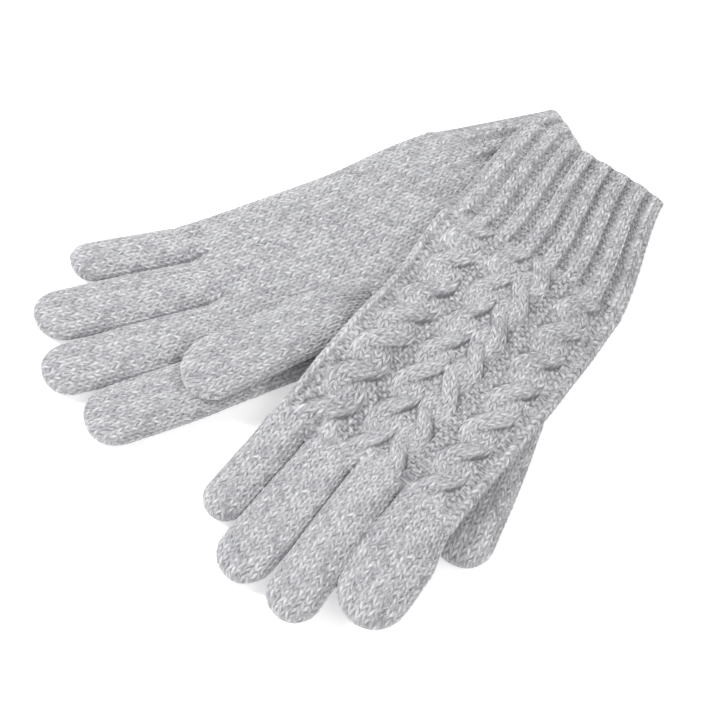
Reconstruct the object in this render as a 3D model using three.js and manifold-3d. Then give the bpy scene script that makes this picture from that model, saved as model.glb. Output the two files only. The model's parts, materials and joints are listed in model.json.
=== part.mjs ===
// A pair of knitted gloves lying one across the other, in millimetres, +Z up.
// The left glove lies palm up on the table, the right glove lies back up across its cuff and thumb root.
// Every glove is laid out along u (cuff mouth to fingertips), v (towards the thumb side) and w (up).

import * as THREE from 'three';
import Module from 'manifold-3d';
import { mergeVertices } from 'three/addons/utils/BufferGeometryUtils.js';
import { ParametricGeometry } from 'three/addons/geometries/ParametricGeometry.js';

const wasm = await Module();
wasm.setup();

// Driving dimensions
const fabric = 2.2; // knitted wall
const gap = 0.3; // between pieces that are knitted onto each other
const clearance = 0.6; // between the two gloves, and between a thumb and the palm it lies on
const thickness = 10; // cuff, hand and fingers, lying flat

const cuff = { length: 56, mouthWidth: 74, wristWidth: 91 };
const hand = { length: 126, widest: 93, widestAt: 32 };
const fingers = {
  little: { width: 19, length: 48 },
  ring: { width: 23.5, length: 70 },
  middle: { width: 22.5, length: 73 },
  index: { width: 26.5, length: 63 },
};
const thumb = { width: 25, thickness: 8.8, rootAt: 56, rise: 26, knuckle: 46, length: 92 };

// How the two gloves lie: turn in degrees, the middle of the cuff mouth, the sideways sway of the
// cuff mouth and the wrist, how far the little finger's side is drawn in where the glove climbs, the
// slant of each digit away from the glove's own axis, and how far a digit is stretched lengthwise.
const leftPose = {
  name: 'left',
  palmUp: true,
  turn: 180,
  mouth: [131, 41.5],
  mouthSway: -5,
  wristSway: -5.5,
  drawnIn: 0,
  thumbRoot: 25.5,
  lean: { little: -11, ring: -8, middle: -4.5, index: -1.5, thumb: 5.2 },
  stretch: { little: 1, ring: 1, middle: 1.02, index: 1.04, thumb: 1 },
};
const rightPose = {
  name: 'right',
  palmUp: false,
  turn: 208.2,
  mouth: [135, 30.5],
  mouthSway: -10,
  wristSway: -2.5,
  drawnIn: 5,
  thumbRoot: 32,
  lean: { little: 0.5, ring: 1, middle: 4.2, index: 4.2, thumb: 14 },
  stretch: { little: 0.98, ring: 0.89, middle: 0.885, index: 0.75, thumb: 0.81 },
};

// How the right glove drapes over the left one and over its own thumb. Each pair is where a slope
// starts and ends, counted from the place that its comment names.
const drape = {
  comeDown: [-34, 13], // from its finger roots, coming down off the left glove
  ontoThumb: [-21, 19], // from the root of the left thumb, climbing onto it
  ownThumbAcross: [-34.5, -5.5], // from its own thumb's inner edge, climbing onto that thumb
  ownThumbAlong: [-4, 48], // from its wrist, climbing onto its own thumb
  indexDown: [23, 58], // from its finger roots, where the index finger comes down again
  indexDrop: 0.5, // share of the climb onto the thumb that the index finger loses
};

// Fineness of the faceted surfaces
const pointsRound = { cuff: 26, digit: 14, thumb: 16 };
const stationsAlong = { cuff: 5, hand: 9, digit: 4, tip: 3, gusset: 7 };
const pointsAcrossHand = 12;
const flatShare = 1.25; // how early the section's rounded edge turns into its flat face

const degrees = Math.PI / 180;
const palmEnd = cuff.length + hand.length;
const rootWidth = Object.values(fingers).reduce((sum, finger) => sum + finger.width, 0);
const glovesApart = thickness + gap + clearance;
const thumbClimb = thumb.thickness + clearance;

function between(start, end, value) {
  return THREE.MathUtils.smoothstep((value - start) / (end - start), 0, 1);
}

// A slope between two places that are counted from an origin
function slope([start, end], origin, value) {
  return between(origin + start, origin + end, value);
}

// Half the width of the cuff and the hand at u, and the sideways place of their middle
function halfWidth(u) {
  if (u <= cuff.length) {
    return THREE.MathUtils.lerp(cuff.mouthWidth, cuff.wristWidth, u / cuff.length) / 2;
  }
  const widestU = cuff.length + hand.widestAt;
  if (u <= widestU) {
    return THREE.MathUtils.lerp(cuff.wristWidth, hand.widest, between(cuff.length, widestU, u)) / 2;
  }
  return THREE.MathUtils.lerp(hand.widest, rootWidth, between(widestU, palmEnd, u)) / 2;
}

function sway(pose, u) {
  const toWrist = between(0, cuff.length, u);
  const wristLeft = 1 - between(cuff.length, cuff.length + hand.length / 2, u);
  return THREE.MathUtils.lerp(pose.mouthSway, pose.wristSway, toWrist) * wristLeft;
}

// The sideways place of a point that is `across` from the middle of the cuff or hand
function placeAcross(pose, u, across) {
  const leavingCuff = between(cuff.length, cuff.length + hand.length / 2, u);
  const climbing = leavingCuff * (1 - slope(drape.comeDown, palmEnd, u));
  return sway(pose, u) + across + pose.drawnIn * climbing * between(rootWidth / 4, -rootWidth / 2, across);
}

// A point of a glove, given in the left glove's own u and v
function seenFromLeft(pose, u, v) {
  const turn = (pose.turn - leftPose.turn) * degrees;
  const mouth = new THREE.Vector2(pose.mouth[0] - leftPose.mouth[0], pose.mouth[1] - leftPose.mouth[1]);
  mouth.rotateAround(new THREE.Vector2(), -leftPose.turn * degrees);
  const point = new THREE.Vector2(u, v).rotateAround(new THREE.Vector2(), turn);
  return point.add(mouth);
}

// Height of the underside of a glove above the table at (u, v)
function rise(pose, u, v) {
  if (pose.palmUp) return 0;
  const below = seenFromLeft(pose, u, v);
  const overHand = between(rootWidth, rootWidth / 2, below.y) * (1 - slope(drape.comeDown, palmEnd, u));
  const overThumb = overHand * slope(drape.ontoThumb, cuff.length + thumb.rootAt, below.x);
  const thumbEdge = pose.thumbRoot - thumb.width / 2;
  const lifted = slope(drape.ownThumbAcross, thumbEdge, v) * slope(drape.ownThumbAlong, cuff.length, u);
  const overOwn = lifted * (1 - drape.indexDrop * slope(drape.indexDown, palmEnd, u));
  return overHand * glovesApart + (overThumb + overOwn) * thumbClimb;
}

// A point of a flattened oval section: its half width and half height at an angle round it
function sectionPoint(angle, halfAcross, halfHigh) {
  const height = THREE.MathUtils.clamp(flatShare * Math.sin(angle), -1, 1);
  return [halfAcross * Math.cos(angle), halfHigh * height];
}

// Geometry with shared points and no zero-sized triangles, ready to be cut or shown
function tidied(geometry) {
  const bare = geometry.clone();
  bare.deleteAttribute('normal');
  bare.deleteAttribute('uv');
  const merged = mergeVertices(bare);
  const corners = merged.index.array;
  const kept = [];
  for (let i = 0; i < corners.length; i += 3) {
    const [a, b, c] = [corners[i], corners[i + 1], corners[i + 2]];
    if (a !== b && b !== c && c !== a) kept.push(a, b, c);
  }
  merged.setIndex(kept);
  merged.computeVertexNormals();
  return merged;
}

function toSolid(geometry) {
  const vertProperties = new Float32Array(geometry.attributes.position.array);
  const triVerts = new Uint32Array(geometry.index.array);
  return new wasm.Manifold(new wasm.Mesh({ numProp: 3, vertProperties, triVerts }));
}

function fromSolid(solid) {
  const mesh = solid.getMesh();
  const geometry = new THREE.BufferGeometry();
  geometry.setAttribute('position', new THREE.BufferAttribute(new Float32Array(mesh.vertProperties), 3));
  geometry.setIndex(Array.from(mesh.triVerts));
  geometry.computeVertexNormals();
  return geometry;
}

// A surface swept round a tube: a ring of points for each station, and place() puts them
function swept(stations, ringPoints, place) {
  const last = stations.length - 1;
  const surface = (turn, along, target) => {
    place(stations[Math.round(along * last)], 2 * Math.PI * turn, target);
  };
  return tidied(new ParametricGeometry(surface, ringPoints, last));
}

function evenly(count, from, to) {
  return Array.from({ length: count + 1 }, (_, i) => THREE.MathUtils.lerp(from, to, i / count));
}

// The ribbed cuff: a flattened tube open at both ends
function cuffGeometry(pose) {
  const outer = evenly(stationsAlong.cuff, 0, cuff.length - gap / 2).map((u) => ({ u, inset: 0 }));
  const inner = outer.map(({ u }) => ({ u, inset: fabric })).reverse();
  return swept([...outer, ...inner, outer[0]], pointsRound.cuff, ({ u, inset }, angle, target) => {
    const [across, high] = sectionPoint(angle, halfWidth(u) - inset, thickness / 2 - inset);
    const v = placeAcross(pose, u, across);
    target.set(u, v, thickness / 2 + high + rise(pose, u, v));
  });
}

// One face of the hand: a sheet bent round the upper or the lower half of the oval section
function handFace(pose, upper) {
  const sheet = new THREE.BoxGeometry(1, 1, 1, pointsAcrossHand, 1, stationsAlong.hand);
  const places = sheet.attributes.position;
  const start = cuff.length + gap / 2;
  const end = palmEnd - gap / 2;
  for (let i = 0; i < places.count; i += 1) {
    const u = THREE.MathUtils.lerp(start, end, 0.5 + places.getZ(i));
    const angle = Math.PI * (0.5 - places.getX(i)) * (upper ? 1 : -1);
    const inset = fabric * (upper ? 0.5 - places.getY(i) : 0.5 + places.getY(i));
    const [across, high] = sectionPoint(angle, halfWidth(u) - inset, thickness / 2 - inset);
    const v = placeAcross(pose, u, across);
    places.setXYZ(i, u, v, thickness / 2 + high + (upper ? gap : 0) + rise(pose, u, v));
  }
  return tidied(sheet);
}

// Stations of a digit: up the inside from the tip to the root, then down the outside to the tip
function digitStations(from, length, width, high) {
  const half = width / 2;
  const layer = (inset) => {
    const body = evenly(stationsAlong.digit, from, length - half).map((along) => (
      { along, across: half - inset, high: high / 2 - inset }));
    const tip = evenly(stationsAlong.tip, 0, Math.PI / 2).slice(1).map((angle) => {
      const share = Math.max(0, Math.cos(angle));
      const atPole = angle === Math.PI / 2;
      return {
        along: length - half + (half - inset) * Math.sin(angle),
        across: atPole ? 0 : (half - inset) * share,
        high: atPole ? 0 : (high / 2 - inset) * Math.sqrt(share),
      };
    });
    return [...body, ...tip];
  };
  return [...layer(fabric).reverse(), ...layer(0)];
}

// A finger grows straight out of the end of the hand at its own slant
function fingerGeometry(pose, name) {
  const names = Object.keys(fingers);
  const before = names.slice(0, names.indexOf(name)).reduce((sum, other) => sum + fingers[other].width, 0);
  const middle = before + fingers[name].width / 2 - rootWidth / 2;
  const lean = pose.lean[name] * degrees;
  const length = fingers[name].length * pose.stretch[name];
  const stations = digitStations(gap / 2, length, fingers[name].width - gap, thickness);
  return swept(stations, pointsRound.digit, ({ along, across, high }, angle, target) => {
    const [side, up] = sectionPoint(angle, across, high);
    const u = palmEnd + along * Math.cos(lean);
    const v = middle + along * Math.sin(lean) + side;
    target.set(u, v, thickness / 2 + up + rise(pose, u, v));
  });
}

// The thumb leaves the palm through a hole, climbs clear of it and lies along it. `out` is the
// distance of its middle from the palm, measured away from the hand.
function thumbPlace(pose) {
  const lean = pose.lean.thumb * degrees;
  const lying = clearance / 2 + thumb.thickness / 2;
  return ({ along, across, high }, angle, target) => {
    const [side, up] = sectionPoint(angle, across, high);
    const out = THREE.MathUtils.lerp(-thumb.thickness / 2, lying, between(0, thumb.rise, along));
    const middle = pose.palmUp ? thickness + gap + out : thumbClimb - out;
    const u = cuff.length + thumb.rootAt + along * Math.cos(lean);
    const v = pose.thumbRoot + along * Math.sin(lean) + side;
    target.set(u, v, middle + up);
  };
}

function thumbGeometry(pose) {
  const length = thumb.length * pose.stretch.thumb;
  const stations = digitStations(thumb.knuckle + gap / 2, length, thumb.width, thumb.thickness);
  return swept(stations, pointsRound.thumb, thumbPlace(pose));
}

// The gusset is the thumb's lower part, cut off where it meets the palm
function gussetGeometry(pose) {
  const layer = (inset) => evenly(stationsAlong.gusset, 0, thumb.knuckle - gap / 2).map((along) => (
    { along, across: thumb.width / 2 - inset, high: thumb.thickness / 2 - inset }));
  const rings = [...layer(0), ...layer(fabric).reverse()];
  const tube = swept([...rings, rings[0]], pointsRound.thumb, thumbPlace(pose));
  return fromSolid(toSolid(tube).intersect(toSolid(besideHand(pose, clearance / 2))));
}

// The space on the palm's side of a glove, from `away` off the palm outwards
function besideHand(pose, away) {
  const size = 2 * palmEnd;
  const block = tidied(new THREE.BoxGeometry(size, size, size));
  const edge = pose.palmUp ? thickness + gap + away + size / 2 : thumbClimb - away - size / 2;
  return block.translate(palmEnd / 2, 0, edge);
}

function palmGeometry(pose) {
  const ends = [0, thumb.knuckle];
  const bore = evenly(stationsAlong.gusset, ...ends).map((along) => (
    { along, across: thumb.width / 2 - fabric, high: thumb.thickness / 2 - fabric }));
  const poles = ends.map((along) => ({ along, across: 0, high: 0 }));
  const plug = swept([poles[0], ...bore, poles[1]], pointsRound.thumb, thumbPlace(pose));
  return fromSolid(toSolid(handFace(pose, pose.palmUp)).subtract(toSolid(plug)));
}

// Knitted wool, a shade apart on the two faces
const yarnColours = { ribbed: 0xb4b4b7, cabled: 0xbcbcbf, plain: 0xbbbabc, digit: 0xc0c0c2 };

function knitted(name, geometry, colour) {
  const material = new THREE.MeshStandardMaterial({ color: colour, roughness: 0.95, metalness: 0 });
  const mesh = new THREE.Mesh(geometry, material);
  mesh.name = name;
  return mesh;
}

function glove(pose) {
  const group = new THREE.Group();
  const named = (piece) => `${pose.name}_${piece}`;
  group.add(knitted(named('cuff'), cuffGeometry(pose), yarnColours.ribbed));
  group.add(knitted(named('back'), handFace(pose, !pose.palmUp), yarnColours.cabled));
  group.add(knitted(named('palm'), palmGeometry(pose), yarnColours.plain));
  group.add(knitted(named('thumb_gusset'), gussetGeometry(pose), yarnColours.plain));
  group.add(knitted(named('thumb'), thumbGeometry(pose), yarnColours.digit));
  for (const name of Object.keys(fingers)) {
    group.add(knitted(named(`${name}_finger`), fingerGeometry(pose, name), yarnColours.digit));
  }
  group.rotation.z = pose.turn * degrees;
  group.position.set(...pose.mouth, 0);
  return group;
}

const pair = new THREE.Group();
pair.add(glove(leftPose), glove(rightPose));

// The origin is the middle of the pair's footprint, on the table
const footprint = new THREE.Box3().setFromObject(pair, true);
const centre = footprint.getCenter(new THREE.Vector3());
pair.position.set(-centre.x, -centre.y, -footprint.min.z);

export default pair;
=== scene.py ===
# A pair of light grey wool gloves with ribbed cuffs, cabled backs and plain palms.
# The left one lies palm up on the table, the right one lies back up across it.
# Lengths are millimetres until a mesh is filled, where they become metres.
import json
import math
from functools import partial

import bpy
import numpy as np
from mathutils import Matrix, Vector


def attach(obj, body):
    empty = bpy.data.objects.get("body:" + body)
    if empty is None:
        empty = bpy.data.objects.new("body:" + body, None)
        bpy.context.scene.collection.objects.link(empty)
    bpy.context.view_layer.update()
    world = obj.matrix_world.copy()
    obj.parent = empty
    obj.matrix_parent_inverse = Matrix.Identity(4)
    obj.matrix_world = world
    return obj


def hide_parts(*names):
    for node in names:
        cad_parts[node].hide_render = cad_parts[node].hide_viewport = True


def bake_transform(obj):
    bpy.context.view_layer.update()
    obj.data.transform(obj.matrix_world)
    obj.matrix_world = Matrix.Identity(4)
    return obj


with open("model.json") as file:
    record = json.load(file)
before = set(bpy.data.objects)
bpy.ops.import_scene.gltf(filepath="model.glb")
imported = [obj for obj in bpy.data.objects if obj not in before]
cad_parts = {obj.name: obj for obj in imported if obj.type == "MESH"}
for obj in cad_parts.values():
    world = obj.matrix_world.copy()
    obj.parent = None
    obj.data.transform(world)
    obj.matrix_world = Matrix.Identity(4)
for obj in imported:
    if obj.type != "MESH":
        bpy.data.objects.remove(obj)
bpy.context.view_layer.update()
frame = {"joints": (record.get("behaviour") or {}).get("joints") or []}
metre = 1000.0

# The cut of a glove, the same as the solids in the frame
gloveCut = {
    "cuffLength": 56, "mouthWidth": 74, "wristWidth": 91,
    "handLength": 126, "widest": 93, "widestAt": 32,
    "thickness": 10, "gap": 0.3, "clearance": 0.6, "wall": 1.7, "lining": 4.3,
    "handFlatness": 1.25, "digitFlatness": 1.12, "rootsFrom": 20, "partedFrom": 3,
}
fingerCut = {
    "little": {"width": 19, "length": 48},
    "ring": {"width": 23.5, "length": 70},
    "middle": {"width": 22.5, "length": 73},
    "index": {"width": 26.5, "length": 63},
}
thumbCut = {"width": 25, "thickness": 8.8, "rootAt": 56, "rise": 26, "knuckle": 46, "length": 92}

# How each glove lies, and how the right one drapes over the left and over its own thumb
gloveLie = {
    "left": {
        "palmUp": True, "mouthSway": -5, "wristSway": -5.5, "drawnIn": 0, "thumbRoot": 25.5,
        "lean": {"little": -11, "ring": -8, "middle": -4.5, "index": -1.5, "thumb": 5.2},  # degrees
        "stretch": {"little": 1, "ring": 1, "middle": 1.02, "index": 1.04, "thumb": 1},  # of the cut length
        "swell": {"little": 0.6, "ring": 1.2, "middle": 1.6, "index": 1.0, "thumb": 2.2},  # to each side
    },
    "right": {
        "palmUp": False, "mouthSway": -10, "wristSway": -2.5, "drawnIn": 5, "thumbRoot": 32,
        "lean": {"little": 0.5, "ring": 1, "middle": 4.2, "index": 4.2, "thumb": 14},
        "stretch": {"little": 0.98, "ring": 0.89, "middle": 0.885, "index": 0.75, "thumb": 0.81},
        "swell": {"little": 0.3, "ring": 1.2, "middle": 0.7, "index": 2.5, "thumb": 3.2},
    },
}
drape = {
    "comeDown": (-34, 13), "ontoThumb": (-21, 19),
    "ownThumbAcross": (-34.5, -5.5), "ownThumbAlong": (-4, 48),
    "indexDown": (23, 58), "indexDrop": 0.5,
}
# Where a lying digit fills out and thins again, and how far a full one moves sideways
fullness = {"by": 0.4, "until": 0.6, "thinning": 0.4, "fingerShift": 0.3, "thumbShift": 0.6, "joined": 12}

palmEnd = gloveCut["cuffLength"] + gloveCut["handLength"]
rootWidth = sum(finger["width"] for finger in fingerCut.values())
rowHeight = 3.0


# Smooth step from 0 at start to 1 at end
def between(start, end, value):
    share = np.clip((np.asarray(value, float) - start) / (end - start), 0, 1)
    return share * share * (3 - 2 * share)


# A slope between two places that are counted from an origin
def slope(places, origin, value):
    return between(origin + places[0], origin + places[1], value)


def mix(low, high, share):
    return low + (high - low) * share


# The joint that moves a body
def jointOf(body):
    return next(joint for joint in frame["joints"] if joint["child"] == body)


def jointPlace(body):
    return np.array(jointOf(body)["pos_m"])


# Where each glove starts and which way it points, read from the frame's finger joints
def layOut(side):
    lateral = -np.array(jointOf(f"{side}_ring")["axis"][:2], float)
    along = np.array([lateral[1], -lateral[0]])
    root = jointPlace(f"{side}_ring")[:2] * metre
    middle = fingerMiddle("ring")
    lie = dict(gloveLie[side])
    lie.update(side=side, along=along, lateral=lateral, origin=root - palmEnd * along - middle * lateral)
    return lie


def fingerMiddle(name):
    names = list(fingerCut)
    before = sum(fingerCut[other]["width"] for other in names[:names.index(name)])
    return before + fingerCut[name]["width"] / 2 - rootWidth / 2


gloves = {side: layOut(side) for side in gloveLie}


# A place on a glove is u along it from the cuff's mouth, v across it, and w above the table
def halfWidth(u):
    cut = gloveCut
    toWrist = mix(cut["mouthWidth"], cut["wristWidth"], np.clip(u / cut["cuffLength"], 0, 1))
    widestU = cut["cuffLength"] + cut["widestAt"]
    toWidest = mix(toWrist, cut["widest"], between(cut["cuffLength"], widestU, u))
    return mix(toWidest, rootWidth, between(widestU, palmEnd, u)) / 2


# How far across a glove lies at u: it sways at its cuff and draws in where it climbs
def placeAcross(lie, u, across):
    cuffLength, handLength = gloveCut["cuffLength"], gloveCut["handLength"]
    sway = mix(lie["mouthSway"], lie["wristSway"], between(0, cuffLength, u))
    sway = sway * (1 - between(cuffLength, cuffLength + handLength / 2, u))
    climbing = between(cuffLength, cuffLength + handLength / 2, u)
    climbing = climbing * (1 - slope(drape["comeDown"], palmEnd, u))
    return sway + across + lie["drawnIn"] * climbing * between(rootWidth / 4, -rootWidth / 2, across)


# Height of a glove's underside above the table
def rise(lie, u, v):
    if lie["palmUp"]:
        return np.zeros(np.broadcast(u, v).shape)
    below = gloves["left"]
    place = lie["origin"] + np.multiply.outer(u, lie["along"]) + np.multiply.outer(v, lie["lateral"])
    uBelow = (place - below["origin"]) @ below["along"]
    vBelow = (place - below["origin"]) @ below["lateral"]
    overHand = between(rootWidth, rootWidth / 2, vBelow) * (1 - slope(drape["comeDown"], palmEnd, u))
    cuffLength = gloveCut["cuffLength"]
    overThumb = overHand * slope(drape["ontoThumb"], cuffLength + thumbCut["rootAt"], uBelow)
    thumbEdge = lie["thumbRoot"] - thumbCut["width"] / 2
    lifted = slope(drape["ownThumbAcross"], thumbEdge, v) * slope(drape["ownThumbAlong"], cuffLength, u)
    overOwn = lifted * (1 - drape["indexDrop"] * slope(drape["indexDown"], palmEnd, u))
    thumbClimb = thumbCut["thickness"] + gloveCut["clearance"]
    apart = gloveCut["thickness"] + gloveCut["gap"] + gloveCut["clearance"]
    return overHand * apart + (overThumb + overOwn) * thumbClimb


# A flattened oval section: half its width and half its height at an angle round it
def sectionPoint(angle, halfAcross, halfHigh, flatness):
    return halfAcross * np.cos(angle), halfHigh * np.clip(flatness * np.sin(angle), -1, 1)


# Angles over half an oval, and the share of the half's outline that each has passed
def halfArc(halfAcross, halfHigh, flatness, count):
    angle = np.linspace(0, math.pi, count)
    across, high = sectionPoint(angle, halfAcross, halfHigh, flatness)
    arc = np.concatenate([[0], np.cumsum(np.hypot(np.diff(across), np.diff(high)))])
    return angle, arc / arc[-1]


# The angle at each share of the way round an oval, so that all stitches are equally wide
def evenAngle(turn, halfAcross, halfHigh, flatness):
    angle, arc = halfArc(halfAcross, halfHigh, flatness, 361)
    turn = np.mod(turn, 1)
    half = np.interp(1 - np.abs(2 * turn - 1), arc, angle)
    return np.where(turn <= 0.5, half, 2 * math.pi - half)


# The oval of a digit, drawn in round its tip
def digitSection(angle, half, high, tip):
    closing = np.cos(tip)
    return sectionPoint(angle, half * closing, high * np.sqrt(np.abs(closing)), gloveCut["digitFlatness"])


def toFrame(lie, u, v, w):
    flat = lie["origin"] + u[..., None] * lie["along"] + v[..., None] * lie["lateral"]
    return np.concatenate([flat, w[..., None]], axis=-1)


# Points of the cuff and hand tube at u, a share of the way round, and a depth under its outside
def tubePoints(lie, u, turn, depth):
    cut = gloveCut
    u, turn, depth = np.broadcast_arrays(u, turn, depth)
    angle = evenAngle(turn, rootWidth / 2, cut["thickness"] / 2, cut["handFlatness"])
    halfHigh = cut["thickness"] / 2 - depth
    across, high = sectionPoint(angle, halfWidth(u) - depth, halfHigh, cut["handFlatness"])
    scallop = fingerProfile(across) * halfHigh * np.sign(high)
    high = mix(high, scallop, between(palmEnd - cut["rootsFrom"], palmEnd, u) ** 1.5)
    v = placeAcross(lie, u, across)
    pastCuff = between(cut["cuffLength"], cut["cuffLength"] + cut["partedFrom"], u)
    parted = cut["gap"] * between(-0.02, 0.02, np.sin(angle)) * pastCuff
    w = cut["thickness"] / 2 + high + parted + rise(lie, u, v)
    return toFrame(lie, u, v, w)


# Height of the four fingers' roots across the end of the hand, as a share of the thickness
def fingerProfile(across):
    profile = np.zeros(across.shape)
    for name, finger in fingerCut.items():
        reach = np.clip((across - fingerMiddle(name)) / (finger["width"] / 2), -1, 1)
        profile = np.maximum(profile, np.clip(gloveCut["digitFlatness"] * np.sqrt(1 - reach ** 2), 0, 1))
    return profile


# Points of a finger: `tip` is the angle round its rounded end, 0 along its straight part
def fingerPoints(lie, name, station, tip, turn, depth):
    cut, finger = gloveCut, fingerCut[name]
    station, tip, turn, depth = np.broadcast_arrays(station, tip, turn, depth)
    length = finger["length"] * lie["stretch"][name]
    lean = math.radians(lie["lean"][name])
    filling = between(0, length * fullness["by"], station)
    thinning = fullness["thinning"] * between(length * fullness["until"], length, station)
    swell = lie["swell"][name] * filling * (1 - thinning)
    half = finger["width"] / 2 + swell - depth
    high = cut["thickness"] / 2 - depth
    angle = evenAngle(turn, finger["width"] / 2, cut["thickness"] / 2, cut["digitFlatness"])
    side, up = digitSection(angle, half, high, tip)
    along = np.minimum(station, length - finger["width"] / 2) + half * np.sin(tip)
    u = palmEnd + along * math.cos(lean)
    v = fingerMiddle(name) + along * math.sin(lean) + side + swell * fullness["fingerShift"]
    parted = cut["gap"] * between(-0.5, 0.5, np.sin(angle)) * (1 - between(0, fullness["joined"], along))
    return toFrame(lie, u, v, cut["thickness"] / 2 + up + parted + rise(lie, u, v))


# Points of a thumb: it leaves the palm, climbs clear of it and lies along it
def thumbPoints(lie, station, tip, turn, depth):
    cut, thumb = gloveCut, thumbCut
    station, tip, turn, depth = np.broadcast_arrays(station, tip, turn, depth)
    length = thumb["length"] * lie["stretch"]["thumb"]
    lean = math.radians(lie["lean"]["thumb"])
    swell = lie["swell"]["thumb"] * between(0, thumb["knuckle"], station)
    half = thumb["width"] / 2 + swell - depth
    high = thumb["thickness"] / 2 - depth
    angle = evenAngle(turn, thumb["width"] / 2, thumb["thickness"] / 2, cut["digitFlatness"])
    side, up = digitSection(angle, half, high, tip)
    along = np.minimum(station, length - thumb["width"] / 2) + half * np.sin(tip)
    lying = cut["clearance"] / 2 + thumb["thickness"] / 2
    out = mix(-thumb["thickness"] / 2, lying, between(0, thumb["rise"], along))
    above, below = cut["thickness"] + cut["gap"], thumb["thickness"] + cut["clearance"]
    middle = above + out if lie["palmUp"] else below - out
    u = cut["cuffLength"] + thumb["rootAt"] + along * math.cos(lean)
    v = lie["thumbRoot"] + along * math.sin(lean) + side - swell * fullness["thumbShift"]
    return toFrame(lie, u, v, middle + up)


# Knitted surfaces. Every pattern gives, for a place counted in stitches across and rows along,
# the depth below the surface, how high the yarn stands, lowered where painted shade darkens it, the way the
# yarn runs, and a number for each strand of yarn.
stitch = {
    "legRise": 0.9, "legSteepness": 57, "legThinning": 0.8, "legFullness": 1.12,
    "plainDepth": 0.62, "plainYarn": 3.5, "slip": 0.035,
    "purlDepth": 0.8, "purlYarn": 3.3, "barBend": 0.24, "barDip": 0.28,
}


# A number from 0 to 1 that looks random but is the same for the same strand
def scatter(a, b, c):
    wave = np.sin(a * 12.9898 + b * 78.233 + c * 37.719) * 43758.5453
    return wave - np.floor(wave)


# Stitches are never quite even: each place slips a little sideways and lengthways, by waves out of step
def uneven(wale, row):
    sideways = np.sin(row * 2.3 + 1.7 * np.sin(wale * 1.9)) + np.sin(row * 5.1 + wale * 2.7)
    lengthways = np.sin(wale * 2.9 + 1.3 * np.sin(row * 1.3)) + np.sin(wale * 4.7 - row * 3.1)
    return wale + stitch["slip"] * sideways / 2, row + stitch["slip"] * lengthways / 2


# A round strand of yarn across each row: 0 between rows, 1 on the strand
def strandRound(phase):
    return np.sqrt(np.clip(1 - (2 * np.mod(phase, 1) - 1) ** 2, 0, 1))


# Stocking stitch: two slanting legs of yarn to each stitch
def plainStitch(wale, row):
    wale, row = uneven(wale, row)
    side = np.mod(wale, 1) * 2 - 1
    reach = np.abs(side)
    phase = row - stitch["legRise"] * reach
    width = np.sqrt(np.clip(1 - (2 * reach - 1) ** 2 * stitch["legThinning"], 0, 1))
    height = np.clip(stitch["legFullness"] * strandRound(phase) * width, 0, 1)
    steep = math.radians(stitch["legSteepness"])
    x = np.where(side < 0, -1, 1) * wale * stitch["plainYarn"]
    y = row * rowHeight
    alongYarn = x * math.cos(steep) + y * math.sin(steep)
    acrossYarn = y * math.cos(steep) - x * math.sin(steep)
    yarn = np.stack([alongYarn, acrossYarn], -1)
    strand = scatter(np.floor(wale), np.floor(phase), np.where(side < 0, 1, 2))
    return stitch["plainDepth"] * (height - 1), height, yarn, strand


# Purl stitch: rows of little bars across
def purlStitch(wale, row):
    bend = np.cos(2 * math.pi * wale)
    phase = row - stitch["barBend"] * bend
    height = strandRound(phase) * (1 - stitch["barDip"] + stitch["barDip"] * np.abs(bend))
    yarn = np.stack([wale * stitch["purlYarn"], row * rowHeight], -1)
    strand = scatter(np.floor(wale * 2), np.floor(phase), 5)
    return stitch["purlDepth"] * (height - 1), height, yarn, strand


# The second pattern where the mask is set, the first elsewhere
def chosen(first, second, mask):
    return tuple(
        np.where(mask[..., None] if a.ndim > mask.ndim else mask, b, a) for a, b in zip(first, second))


# One pattern turning into another: share 0 keeps the first, 1 the second
def blended(first, second, share):
    depth, height = mix(first[0], second[0], share), mix(first[1], second[1], share)
    return (depth, height) + chosen(first[2:], second[2:], share > 0.5)


# A pattern lower down, and darker by painted shade
def sunk(pattern, depth, shade=0.0):
    return pattern[0] - depth, pattern[1] - shade, pattern[2], pattern[3]


# The rib: two knit stitches standing up, two purl stitches drawn in and darkened with painted shade
rib = {"ribs": 16, "knitShare": 0.62, "depth": 1.9, "stitches": 4, "crest": (-0.72, 0.2), "shade": 0.3}


# The share of the way round for a count of stitches, with the knit ones wider than the purl ones
def ribTurn(wale):
    knit = rib["knitShare"]
    period = np.floor(wale / rib["stitches"])
    place = np.mod(wale, rib["stitches"])
    share = np.interp(place, [0, 2, 4], [0, knit, 1])
    return (period + share) / rib["ribs"]


# The count of stitches for a share of the way round
def ribWale(turn):
    period = np.floor(turn * rib["ribs"])
    share = turn * rib["ribs"] - period
    return period * rib["stitches"] + np.interp(share, [0, rib["knitShare"], 1], [0, 2, 4])


def ribbing(wale, row):
    share = np.mod(ribTurn(wale) * rib["ribs"], 1)
    crest = between(*rib["crest"], np.cos(2 * math.pi * (share - rib["knitShare"] / 2)))
    pattern = blended(purlStitch(wale, row), plainStitch(wale, row), crest)
    # Painted shade darkens the purl valleys between the ribs
    return sunk(pattern, rib["depth"] * (1 - crest), rib["shade"] * (1 - crest))


# The cabled back, from the little finger's side: for each band its stitches and the width of each
backBands = [
    ("edge", 1, 5.2), ("purl", 1, 4.2), ("rope", 6, 3.6), ("purl", 1, 3.2), ("rope", 5, 3.2),
    ("mirroredRope", 5, 3.2), ("purl", 2, 2.8), ("rope", 5, 3.5), ("purl", 1, 4.0), ("edge", 1, 5.0),
]
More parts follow.
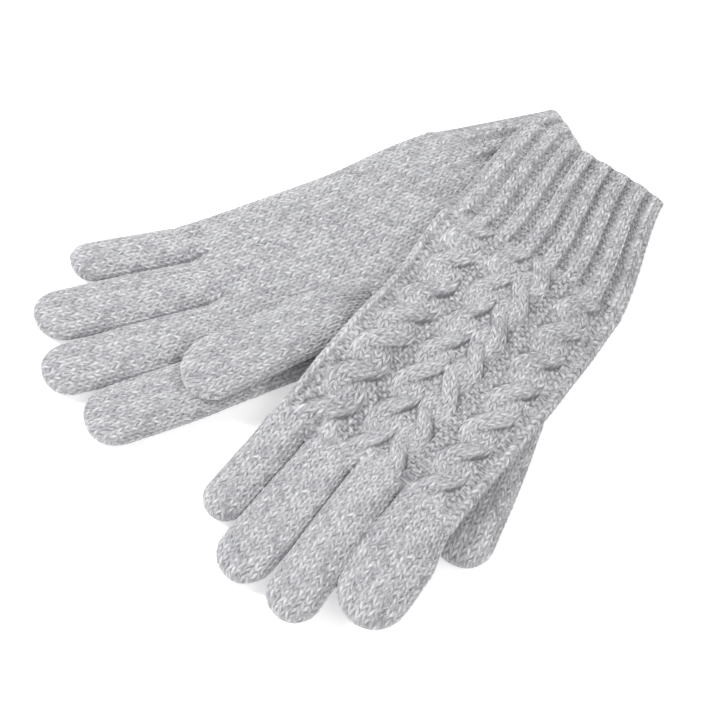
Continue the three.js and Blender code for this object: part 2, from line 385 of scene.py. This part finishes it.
# How a rope crosses, how its strands stand up and round off, how deep the purl ground lies, and the painted
# shade along the strands' edges and in the purl ground
cable = {
    "rowsToCross": 5.7, "swing": 0.24, "strandHalf": 0.3, "lift": 1.0, "dive": 0.6, "crown": 1.9,
    "squareness": (2.2, 0.55), "flank": 2.5, "relief": 0.8, "edgeShade": 0.6, "edge": (0.75, 1.05),
    "valley": 1.9, "valleyShade": 0.2, "underRope": 1.05, "purlSide": 0.75, "sideStitch": 0.25,
    "outOfRib": 2.6, "intoPlain": (3.5, 0.3),
}
bandEdges = np.concatenate([[0], np.cumsum([count for _, count, _ in backBands])])
bandPlaces = np.concatenate([[0], np.cumsum([count * width for _, count, width in backBands])])
backStitches = int(bandEdges[-1])


# A rope of two strands: each lobe climbs over the last one and dives under the next
def rope(x, row, width, mirrored):
    if mirrored:
        x = -x
    swing, half = cable["swing"] * width, cable["strandHalf"] * width
    found = None
    for number in (0, 1):
        turn = math.pi * (row / cable["rowsToCross"] + number)
        centre = swing * np.cos(turn)
        lean = -swing * np.sin(turn) * math.pi / (cable["rowsToCross"] * rowHeight)
        off = (x - centre) / half
        crown = np.clip(1 - np.abs(off) ** cable["squareness"][0], 0, 1) ** cable["squareness"][1]
        top = cable["lift"] * (np.sin(turn) - cable["dive"]) + cable["crown"] * (crown - 1)
        top = top - cable["flank"] * np.clip(np.abs(off) - 1, 0, 1)
        along = row + (x - centre) * lean / rowHeight / (1 + lean ** 2)
        wale = np.clip(1.5 * (off + 1), 0.001, 2.999) + 3 * number
        depth, height, yarn, strand = plainStitch(wale, along)
        # Painted shadow lines along the edges of each strand
        shade = cable["edgeShade"] * between(*cable["edge"], np.abs(off))
        here = (top + depth * cable["relief"], height - shade, yarn + number * 7, strand)
        found = here if found is None else higherOf(found, here)
    return found


# Whichever of two patterns stands higher at each place
def higherOf(first, second):
    return chosen(first, second, second[0] > first[0])


# The back grows out of the ribs of the cuff and ends in plain stitches at the fingers
def cabledBack(wale, row, turn):
    plain, purl = plainStitch(wale, row), purlStitch(wale, row)
    # The purl valleys lie deep and are darkened with painted shade
    valley = sunk(purl, cable["valley"], cable["valleyShade"])
    pattern = plain
    for (kind, count, width), start in zip(backBands, bandEdges):
        inside = (wale >= start) & (wale <= start + count)
        if kind == "purl":
            nearSide = between(0, 0.5, wale - start) * between(0, 0.5, start + count - wale)
            band = blended(sunk(purl, cable["valley"] * cable["purlSide"]), valley, nearSide)
        elif kind == "edge":
            band = sunk(plain, cable["sideStitch"])
        else:
            x = (wale - start - count / 2) * width
            # The purl ground under a rope is darkened with painted shade too
            ground = sunk(purl, cable["valley"] * cable["underRope"], cable["valleyShade"])
            band = higherOf(ground, rope(x, row, count * width, kind == "mirroredRope"))
        pattern = chosen(pattern, band, inside)
    pattern = blended(ribbing(ribWale(turn), row), pattern, between(0, cable["outOfRib"], row))
    ending, ended = (gloveCut["handLength"] / rowHeight - before for before in cable["intoPlain"])
    return blended(pattern, plain, between(ending, ended, row))


def unit(vectors):
    return vectors / np.maximum(np.linalg.norm(vectors, axis=-1, keepdims=True), 1e-9)


# Normals of a net of points: of an open sheet, or of a tube whose last row closes its tip
def netNormals(points, isTube):
    if isTube:
        ring = np.concatenate([points[:, -2:-1], points, points[:, 1:2]], axis=1)
        across = ring[:, 2:] - ring[:, :-2]
    else:
        across = np.gradient(points, axis=1)
    normal = unit(np.cross(across, np.gradient(points, axis=0)))
    if isTube:
        normal[-1] = unit(normal[-2].mean(axis=0))
    return normal


meshing = {"lowest": 0.15, "mergeMetres": 2e-6, "smoothAngle": 80, "yarnUnit": 10}


# A mesh from a net of points: a grid primitive, wrapped, with its seams and ends closed
def knitMesh(name, points, yarn, height, strand, fillEnds=False):
    rows, columns = points.shape[:2]
    bpy.ops.object.select_all(action="DESELECT")
    bpy.ops.mesh.primitive_grid_add(x_subdivisions=columns - 1, y_subdivisions=rows - 1, size=1)
    piece = bpy.context.object
    piece.name = name
    piece.data.name = name
    mesh = piece.data
    points = points.copy()
    points[..., 2] = np.maximum(points[..., 2], meshing["lowest"])
    mesh.vertices.foreach_set("co", (points / metre).astype(np.float32).ravel())
    corner = np.zeros(len(mesh.loops), np.int32)
    mesh.loops.foreach_get("vertex_index", corner)
    layer = mesh.uv_layers[0]
    layer.name = "yarn"
    flat = (yarn.reshape(-1, 2) / meshing["yarnUnit"])[corner]
    layer.data.foreach_set("uv", flat.astype(np.float32).ravel())
    # The relief attribute is how high the yarn stands, lowered by the painted shade; the material darkens
    # the colour where it is low
    for title, values in (("relief", np.clip(height, 0, 1)), ("strand", strand)):
        attribute = mesh.attributes.new(title, "FLOAT", "POINT")
        attribute.data.foreach_set("value", values.astype(np.float32).ravel())
    bpy.ops.object.mode_set(mode="EDIT")
    bpy.ops.mesh.select_all(action="SELECT")
    bpy.ops.mesh.remove_doubles(threshold=meshing["mergeMetres"])
    if fillEnds:
        bpy.ops.mesh.fill_holes(sides=0)
    bpy.ops.mesh.select_all(action="SELECT")
    bpy.ops.mesh.normals_make_consistent(inside=False)
    bpy.ops.object.mode_set(mode="OBJECT")
    bpy.ops.object.shade_smooth_by_angle(angle=math.radians(meshing["smoothAngle"]))
    print(f"  {name}: {len(mesh.vertices)} points")
    return piece


# How many points a stitch, a row and the linings get
fineness = {
    "acrossStitch": 8, "alongRow": 6, "acrossBack": 9,
    "handLining": 20, "cuffLining": 2.5, "digitLining": 14, "tipLining": 6, "cuffRoll": 9,
}
seam = {"depth": -0.35, "rows": 0.5}


# A pattern's depth, brought down to the level of the piece it joins at a row counted from the seam
def joined(depth, row):
    return mix(np.minimum(depth, seam["depth"]), depth, between(0, seam["rows"], row))


handKnit = {"palmStitches": 26, "liningFullness": 5, "liningShade": 0.3}


# One face of the hand: fine outside across, then a coarse lining back, closed at both ends
def handSheet(lie, face):
    cut = gloveCut
    upper = (face == "palm") == lie["palmUp"]
    rows = cut["handLength"] / rowHeight
    row = np.linspace(0, rows, int(round(rows * fineness["alongRow"])) + 1)
    if face == "back":
        wale = np.linspace(0, backStitches, backStitches * fineness["acrossBack"] + 1)
        share = np.interp(wale, bandEdges, bandPlaces / bandPlaces[-1])
    else:
        stitches = handKnit["palmStitches"]
        wale = np.linspace(0, stitches, stitches * fineness["acrossStitch"] + 1)
        share = wale / stitches
    u = cut["cuffLength"] + row * rowHeight
    turn = (1 - share) / 2 if upper else 0.5 + share / 2
    net = tubePoints(lie, u[:, None], turn[None, :], 0.0)
    waleNet, rowNet = np.meshgrid(wale, row)
    if face == "back":
        pattern = cabledBack(waleNet, rowNet, np.broadcast_to(turn, waleNet.shape))
    else:
        pattern = plainStitch(waleNet, rowNet)
    depth, height, yarn, strand = pattern
    depth = joined(depth, np.minimum(rowNet, rows - rowNet))
    normal = netNormals(net, False) * (-1 if upper else 1)
    outside = net + normal * depth[..., None]
    insideShare = np.linspace(1, 0, fineness["handLining"] + 1)
    insideTurn = (1 - insideShare) / 2 if upper else 0.5 + insideShare / 2
    rounding = np.clip(handKnit["liningFullness"] * np.sin(math.pi * insideShare), 0, 1)
    inset = cut["lining"] * np.sqrt(rounding)
    inside = tubePoints(lie, u[:, None], insideTurn[None, :], inset[None, :])
    inside[:, 0] = outside[:, -1]
    inside[:, -1] = outside[:, 0]

    # The lining has one value all over it
    def lined(values, lining):
        size = inside[:, 1:].shape[:2] + values.shape[2:]
        return np.concatenate([values, np.full(size, lining)], axis=1)

    whole = np.concatenate([outside, inside[:, 1:]], axis=1)
    # The lining's relief is a painted shade for the inside of the glove
    yarn, height, strand = lined(yarn, 0.0), lined(height, handKnit["liningShade"]), lined(strand, 0.5)
    return knitMesh(f"{lie['side']}_{face}_knit", whole, yarn, height, strand, True)


# The roll of the cuff's edge, its lining with painted shade inside, and where plain stitches take over on
# the palm's side
cuffEdge = {
    "length": 0.35, "row": 0.15, "thicker": 0.35, "flatterFrom": 2.0, "flatterTo": 0.3, "flatter": 0.55,
    "insideRelief": 0.7, "insideShade": 0.45, "lip": (-0.25, 0.3), "centreDepth": 4.0,
    "plainAcross": 0.35, "plainRows": (-5, -0.5),
}


# The ribbed cuff: outside from wrist to mouth, a rolled edge, and back up inside
def cuffTube(lie):
    rows = gloveCut["cuffLength"] / rowHeight
    mouthRow = -rows + cuffEdge["length"]
    outRow = np.linspace(0, mouthRow, int(rows * fineness["alongRow"]))
    roll = np.linspace(0, math.pi, fineness["cuffRoll"])[1:-1]
    inRow = np.linspace(mouthRow, 0, int(rows * fineness["cuffLining"]))
    wall = gloveCut["wall"] + rib["depth"] * cuffEdge["thicker"]
    rolledU = mouthRow * rowHeight - cuffEdge["length"] * rowHeight * np.sin(roll)
    u = np.concatenate([outRow * rowHeight, rolledU, inRow * rowHeight]) + gloveCut["cuffLength"]
    depth = np.concatenate([outRow * 0, wall * (1 - np.cos(roll)) / 2, inRow * 0 + wall])
    row = np.concatenate([outRow, mouthRow - cuffEdge["row"] * np.sin(roll), inRow])
    stitches = rib["ribs"] * rib["stitches"]
    wale = np.linspace(0, stitches, stitches * fineness["acrossStitch"] + 1)
    turn = ribTurn(wale)
    net = tubePoints(lie, u[:, None], turn[None, :], depth[:, None])
    waleNet, rowNet = np.meshgrid(wale, row)
    towardsPalm = np.sin(2 * math.pi * turn) * (1 if lie["palmUp"] else -1)
    palmShare = between(-cuffEdge["plainAcross"], cuffEdge["plainAcross"], towardsPalm)
    plainShare = palmShare[None, :] * between(*cuffEdge["plainRows"], rowNet)
    pattern = blended(ribbing(waleNet, rowNet), plainStitch(waleNet, rowNet), plainShare)
    deep, height, yarn, strand = pattern
    isInside = (depth > wall / 2)[:, None]
    nearMouth = between(-rows + cuffEdge["flatterFrom"], -rows + cuffEdge["flatterTo"], row)[:, None]
    deep = deep * mix(1, cuffEdge["flatter"], nearMouth)
    deep = np.where(isInside, deep * cuffEdge["insideRelief"], deep)
    surface = tubePoints(lie, u[:, None], turn[None, :], 0.0)
    outward = unit(surface - tubePoints(lie, u[:, None], turn[None, :], cuffEdge["centreDepth"]))
    lipDepth, lipShare = cuffEdge["lip"]
    lip = np.clip(1 - np.abs(2 * depth / wall - 1) ** 2, 0, 1)[:, None] * (depth > 0)[:, None]
    isRoll = ((depth > 0) & (depth < wall))[:, None]
    push = np.where(isRoll, mix(deep, lipDepth, lip * lipShare), deep)
    push = np.where(isInside, push, joined(push, -rowNet))
    # Painted shade inside the cuff
    height = np.where(isInside, cuffEdge["insideShade"], height)
    whole = net + outward * push[..., None]
    whole, yarn, height, strand = (
        np.concatenate([values, values[:1]], axis=0) for values in (whole, yarn, height, strand))
    return knitMesh(f"{lie['side']}_cuff_knit", whole, yarn, height, strand)


# The stitches of a digit run straight on over its rounded tip, where top and underside meet
def digitStitchPlace(turn, tip, stitches, halfAcross, halfHigh):
    angles, arc = halfArc(halfAcross, halfHigh, gloveCut["digitFlatness"], 181)
    angle = evenAngle(turn, halfAcross, halfHigh, gloveCut["digitFlatness"])
    sideways = np.arccos(np.clip(np.cos(angle) * np.cos(tip), -1, 1))
    half = np.interp(sideways, angles, arc) / 2
    place = np.where(turn <= 0.5, half, 1 - half)
    return np.where(tip > 0, place, turn) * stitches


digitKnit = {
    "stitches": {"little": 14, "ring": 18, "middle": 17, "index": 21, "thumb": 21},
    "tipRoundness": 1.25, "tipDepth": -0.3, "tipRows": 0.5, "thumbStart": 6.0,
}


# A finger or thumb: lining from the tip down to the root, then the outside up to the tip
def digitTube(lie, name, stitches, points, length, width, start=0.0):
    half = width / 2
    straight = length - half
    bodyRows = (straight - start) / rowHeight
    tipRows = half * digitKnit["tipRoundness"] / rowHeight
    outStation = np.linspace(start, straight, int(bodyRows * fineness["alongRow"]))
    outTip = np.linspace(0, math.pi / 2, int(tipRows * fineness["alongRow"]) + 2)[1:]
    inStation = np.linspace(straight, start, fineness["digitLining"])
    inTip = np.linspace(math.pi / 2, 0, fineness["tipLining"])[:-1]
    station = np.concatenate([inTip * 0 + straight, inStation, outStation, outTip * 0 + straight])
    tip = np.concatenate([inTip, inStation * 0, outStation * 0, outTip])
    inner = len(inTip) + len(inStation)
    depth = np.concatenate([np.full(inner, gloveCut["wall"]), np.zeros(len(station) - inner)])
    wale = np.linspace(0, stitches, stitches * fineness["acrossStitch"] + 1)
    turn = wale / stitches
    net = points(station[:, None], tip[:, None], turn[None, :], depth[:, None])
    row = (station + half * np.sin(tip) - start) / rowHeight
    rowNet = np.broadcast_to(row[:, None], net.shape[:2])
    waleNet = digitStitchPlace(turn[None, :], tip[:, None], stitches, half, gloveCut["thickness"] / 2)
    deep, height, yarn, strand = plainStitch(waleNet, rowNet)
    deep = mix(digitKnit["tipDepth"], deep, between(0, digitKnit["tipRows"], row[-1] - rowNet))
    deep = joined(deep, rowNet)
    whole = net.copy()
    whole[inner:] = net[inner:] + netNormals(net[inner:], True) * deep[inner:, :, None]
    return knitMesh(f"{lie['side']}_{name}_knit", whole, yarn, height, strand)


def fingerPiece(lie, name):
    finger, stitches = fingerCut[name], digitKnit["stitches"][name]
    length = finger["length"] * lie["stretch"][name]
    points = partial(fingerPoints, lie, name)
    return digitTube(lie, f"{name}_finger", stitches, points, length, finger["width"])


def thumbPiece(lie):
    stitches, start = digitKnit["stitches"]["thumb"], digitKnit["thumbStart"]
    length = thumbCut["length"] * lie["stretch"]["thumb"]
    points = partial(thumbPoints, lie)
    return digitTube(lie, "thumb", stitches, points, length, thumbCut["width"], start)


# Shared look of the yarn: fibres along it, lighter and darker wool in it, and painted shade between
# stitches
wool = {
    "dark": (0.2, 0.2, 0.222, 1), "light": (0.80, 0.80, 0.82, 1), "lightShare": 0.55,
    "creviceShade": 0.3, "openFrom": 0.9, "flecks": 0.5, "fleckContrast": 4.6, "fleckBump": 0.6,
    "fibres": 1.2, "strands": 0.35, "clouds": 0.3, "noiseRoughness": 0.6,
    "fibreNoise": (9, 60, 3), "fleckNoise": (4, 13, 3), "cloudNoise": (0.7, 0.9, 2),
    "roughness": 0.92, "shine": 0.2, "sheen": 0.35, "sheenRoughness": 0.55,
    "bumpStrength": 0.55, "bumpDistance": 0.00035,
}


def addSocket(group, title, inOut, kind, value=None):
    socket = group.interface.new_socket(name=title, in_out=inOut, socket_type=kind)
    if value is not None:
        socket.default_value = value


def heatherYarnAndShade():
    group = bpy.data.node_groups.new("heatherYarnAndShade", "ShaderNodeTree")
    addSocket(group, "Dark", "INPUT", "NodeSocketColor", wool["dark"])
    addSocket(group, "Light", "INPUT", "NodeSocketColor", wool["light"])
    addSocket(group, "Flecks", "INPUT", "NodeSocketFloat", wool["flecks"])
    addSocket(group, "CreviceShade", "INPUT", "NodeSocketFloat", wool["creviceShade"])
    addSocket(group, "Color", "OUTPUT", "NodeSocketColor")
    addSocket(group, "Height", "OUTPUT", "NodeSocketFloat")
    nodes, links = group.nodes, group.links
    given, out = nodes.new("NodeGroupInput"), nodes.new("NodeGroupOutput")
    uv = nodes.new("ShaderNodeUVMap")
    uv.uv_map = "yarn"

    def noise(scaleAlong, scaleAcross, detail):
        stretch = nodes.new("ShaderNodeMapping")
        stretch.inputs["Scale"].default_value = (scaleAlong, scaleAcross, 1)
        texture = nodes.new("ShaderNodeTexNoise")
        texture.inputs["Scale"].default_value = 1
        texture.inputs["Detail"].default_value = detail
        texture.inputs["Roughness"].default_value = wool["noiseRoughness"]
        links.new(uv.outputs["UV"], stretch.inputs["Vector"])
        links.new(stretch.outputs["Vector"], texture.inputs["Vector"])
        return texture.outputs["Fac"]

    def calculate(operation, first, second):
        node = nodes.new("ShaderNodeMath")
        node.operation = operation
        for socket, value in zip(node.inputs, (first, second)):
            if isinstance(value, (int, float)):
                socket.default_value = value
            else:
                links.new(value, socket)
        return node.outputs["Value"]

    def aroundZero(value, strength):
        return calculate("MULTIPLY", calculate("SUBTRACT", value, 0.5), strength)

    def attribute(title):
        node = nodes.new("ShaderNodeAttribute")
        node.attribute_name = title
        return node.outputs["Fac"]

    # Fibres are long and fine, flecks short, and clouds wander over several stitches
    fibre = noise(*wool["fibreNoise"])
    fleck = noise(*wool["fleckNoise"])
    cloud = noise(*wool["cloudNoise"])
    strand = attribute("strand")
    relief = attribute("relief")
    fleckPart = aroundZero(fleck, calculate("MULTIPLY", given.outputs["Flecks"], wool["fleckContrast"]))
    fibrePart = aroundZero(fibre, wool["fibres"])
    strandPart = aroundZero(strand, wool["strands"])
    cloudPart = aroundZero(cloud, wool["clouds"])
    fine, coarse = calculate("ADD", fleckPart, fibrePart), calculate("ADD", strandPart, cloudPart)
    share = calculate("ADD", calculate("ADD", fine, coarse), wool["lightShare"])
    colour = nodes.new("ShaderNodeMix")
    colour.data_type = "RGBA"
    links.new(share, colour.inputs["Factor"])
    links.new(given.outputs["Dark"], colour.inputs["A"])
    links.new(given.outputs["Light"], colour.inputs["B"])
    # Painted shade: the colour darkens where the relief is low, between stitches and in valleys
    shade = nodes.new("ShaderNodeMapRange")
    shade.inputs["From Min"].default_value = 0.0
    shade.inputs["From Max"].default_value = wool["openFrom"]
    shade.inputs["To Max"].default_value = 1.0
    links.new(relief, shade.inputs["Value"])
    links.new(given.outputs["CreviceShade"], shade.inputs["To Min"])
    dimmed = nodes.new("ShaderNodeVectorMath")
    dimmed.operation = "SCALE"
    links.new(colour.outputs["Result"], dimmed.inputs[0])
    links.new(shade.outputs["Result"], dimmed.inputs["Scale"])
    links.new(dimmed.outputs["Vector"], out.inputs["Color"])
    bumps = calculate("ADD", fibre, calculate("MULTIPLY", fleck, wool["fleckBump"]))
    links.new(bumps, out.inputs["Height"])
    return group


yarnGroup = heatherYarnAndShade()


def woolMaterial(name, flecks, creviceShade):
    material = bpy.data.materials.new(name)
    material.use_nodes = True
    nodes, links = material.node_tree.nodes, material.node_tree.links
    shader = nodes["Principled BSDF"]
    shader.inputs["Roughness"].default_value = wool["roughness"]
    shader.inputs["Specular IOR Level"].default_value = wool["shine"]
    shader.inputs["Sheen Weight"].default_value = wool["sheen"]
    shader.inputs["Sheen Roughness"].default_value = wool["sheenRoughness"]
    yarn = nodes.new("ShaderNodeGroup")
    yarn.node_tree = yarnGroup
    yarn.inputs["Flecks"].default_value = flecks
    yarn.inputs["CreviceShade"].default_value = creviceShade
    bump = nodes.new("ShaderNodeBump")
    bump.inputs["Strength"].default_value = wool["bumpStrength"]
    bump.inputs["Distance"].default_value = wool["bumpDistance"]
    links.new(yarn.outputs["Color"], shader.inputs["Base Color"])
    links.new(yarn.outputs["Height"], bump.inputs["Height"])
    links.new(bump.outputs["Normal"], shader.inputs["Normal"])
    return material


woolMaterials = {
    "ribbed_knit": woolMaterial("ribbedWool", flecks=0.6, creviceShade=0.4),
    "cable_knit": woolMaterial("cabledWool", flecks=0.6, creviceShade=0.38),
    "plain_knit": woolMaterial("plainWool", flecks=0.52, creviceShade=0.42),
}


def finish(piece, slot, *nodes):
    piece.data.materials.clear()
    piece.data.materials.append(woolMaterials[slot])
    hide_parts(*nodes)
    return piece


def bendFrom(piece):
    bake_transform(piece)


def makeGlove(side):
    lie = gloves[side]
    hand = f"{side}_hand"
    print(f"knitting the {side} glove")
    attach(finish(handSheet(lie, "back"), "cable_knit", f"{side}_back"), hand)
    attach(finish(handSheet(lie, "palm"), "plain_knit", f"{side}_palm"), hand)
    cuff = finish(cuffTube(lie), "ribbed_knit", f"{side}_cuff")
    bendFrom(cuff)
    thumb = finish(thumbPiece(lie), "plain_knit", f"{side}_thumb_gusset", f"{side}_thumb")
    bendFrom(thumb)
    for name in fingerCut:
        piece = finish(fingerPiece(lie, name), "plain_knit", f"{side}_{name}_finger")
        bendFrom(piece)


for side in gloveLie:
    makeGlove(side)

# The table, the light and the view, which is aimed at a place counted back from the left cuff's mouth
studio = {
    "fromLeftMouth": (-0.132, -0.0436), "heading": 23, "elevation": 60, "distance": 0.675, "view": 25.23,
    "tableSize": 40, "tableColour": (0.95, 0.95, 0.95, 1), "tableGlow": 0.35, "skyStrength": 0.54,
}
lamps = {
    "key": {"place": (-0.8, 0.75, 1.0), "power": 16, "size": 0.45},
    "fill": {"place": (0.4, -0.9, 0.9), "power": 7, "size": 1.0},
}


def paleTable():
    bpy.ops.object.select_all(action="DESELECT")
    bpy.ops.mesh.primitive_plane_add(size=studio["tableSize"], location=(0, 0, 0))
    table = bpy.context.object
    table.name = "table"
    material = bpy.data.materials.new("paleTable")
    material.use_nodes = True
    shader = material.node_tree.nodes["Principled BSDF"]
    shader.inputs["Base Color"].default_value = studio["tableColour"]
    shader.inputs["Roughness"].default_value = 0.9
    shader.inputs["Specular IOR Level"].default_value = 0.0
    shader.inputs["Emission Color"].default_value = (1, 1, 1, 1)
    shader.inputs["Emission Strength"].default_value = studio["tableGlow"]
    table.data.materials.append(material)


def softLights():
    world = bpy.data.worlds.new("studio")
    world.use_nodes = True
    sky = world.node_tree.nodes["Background"]
    sky.inputs["Color"].default_value = (1, 1, 1, 1)
    sky.inputs["Strength"].default_value = studio["skyStrength"]
    bpy.context.scene.world = world
    bpy.context.scene.view_settings.view_transform = "Standard"
    for name, light in lamps.items():
        bpy.ops.object.light_add(type="AREA", location=light["place"])
        lamp = bpy.context.object
        lamp.name = name
        lamp.data.energy = light["power"]
        lamp.data.size = light["size"]
        lamp.rotation_euler = (-Vector(light["place"])).to_track_quat("-Z", "Y").to_euler()


def camera():
    heading, elevation = math.radians(studio["heading"]), math.radians(studio["elevation"])
    level = math.cos(elevation)
    looking = Vector((math.sin(heading) * level, math.cos(heading) * level, -math.sin(elevation)))
    aim = gloves["left"]["origin"] / metre + np.array(studio["fromLeftMouth"])
    bpy.ops.object.camera_add(location=Vector((aim[0], aim[1], 0)) - looking * studio["distance"])
    view = bpy.context.object
    view.data.angle = math.radians(studio["view"])
    view.rotation_euler = looking.to_track_quat("-Z", "Y").to_euler()
    bpy.context.scene.camera = view


paleTable()
softLights()
camera()
print("table, lights and camera are in place")
